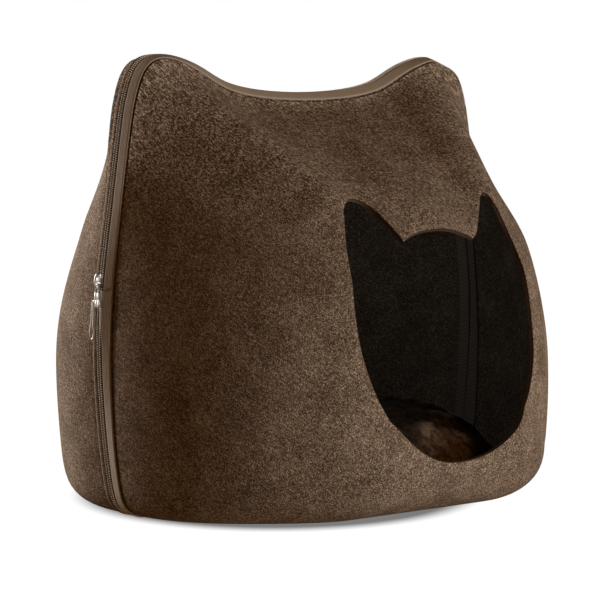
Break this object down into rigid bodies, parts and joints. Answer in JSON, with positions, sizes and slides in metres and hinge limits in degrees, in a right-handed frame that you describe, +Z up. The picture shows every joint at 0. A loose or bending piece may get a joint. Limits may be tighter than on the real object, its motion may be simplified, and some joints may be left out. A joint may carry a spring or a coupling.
{
  "type": "cat cave",
  "caption": "Round moulded felt cat cave with two ears, in two shells joined all round by a zip, with a cat-head doorway and a plush cushion inside.",
  "frame": {"origin": "on the floor under the middle of the cave's bounding box; the slider on one side moves the box's centre about 2 mm off the mirror plane x = 0, which the origin keeps to", "axes": "+Z up, -Y towards the doorway, +X towards the side without the slider"},
  "size_m": [0.4859, 0.4192, 0.4192],
  "materials": {
    "felt": "matte brown melange felt",
    "woven_band": "woven band",
    "zip_tape": "woven tape and coil",
    "slider_steel": "satin",
    "pull_silver": "silver satin",
    "plush": "short plush pile"
  },
  "bodies": {
    "root": {"front_shell": "felt", "back_shell": "felt", "front_binding": "woven_band", "back_binding": "woven_band", "front_zip_tape": "zip_tape", "back_zip_tape": "zip_tape", "zip_chain": "zip_tape", "slider_body": "slider_steel", "slider_bail": "pull_silver", "pull_clasp": "pull_silver", "pull_loop": "pull_silver", "cushion": "plush"}
  },
  "joints": []
}
